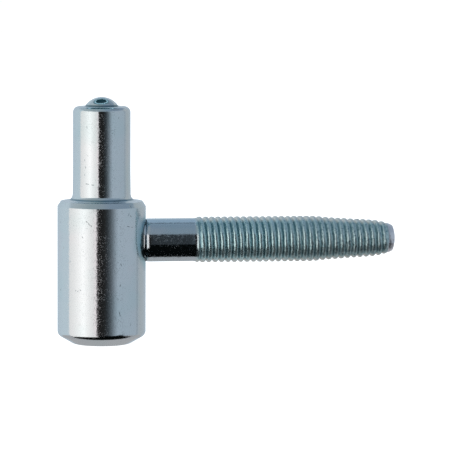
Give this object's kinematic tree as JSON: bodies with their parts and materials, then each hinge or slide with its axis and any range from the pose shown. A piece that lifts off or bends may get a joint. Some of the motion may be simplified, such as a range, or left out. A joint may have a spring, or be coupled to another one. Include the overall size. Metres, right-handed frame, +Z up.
{
  "type": "lift-off hinge lower part",
  "caption": "Lower half of a lift-off hinge: barrel with an upright hinge pin tipped by a bearing ball, and a tapered screw-in stud standing out of its side.",
  "frame": {"origin": "on the stud's axis where its full thread begins, which is the face of the frame that it is screwed into", "axes": "+X along the stud towards its tip, +Z up along the hinge pin, Y across the barrel"},
  "size_m": [0.0776, 0.02, 0.0559],
  "materials": {
    "plated_body": "bright blue-passivated zinc plate on turned steel",
    "plated_ball": "polished hardened ball under bright zinc plate",
    "plated_stud": "bright blue-passivated zinc plate on rolled thread"
  },
  "bodies": {
    "root": {"hinge_body": "plated_body", "bearing_ball": "plated_ball", "threaded_stud": "plated_stud"}
  },
  "joints": []
}
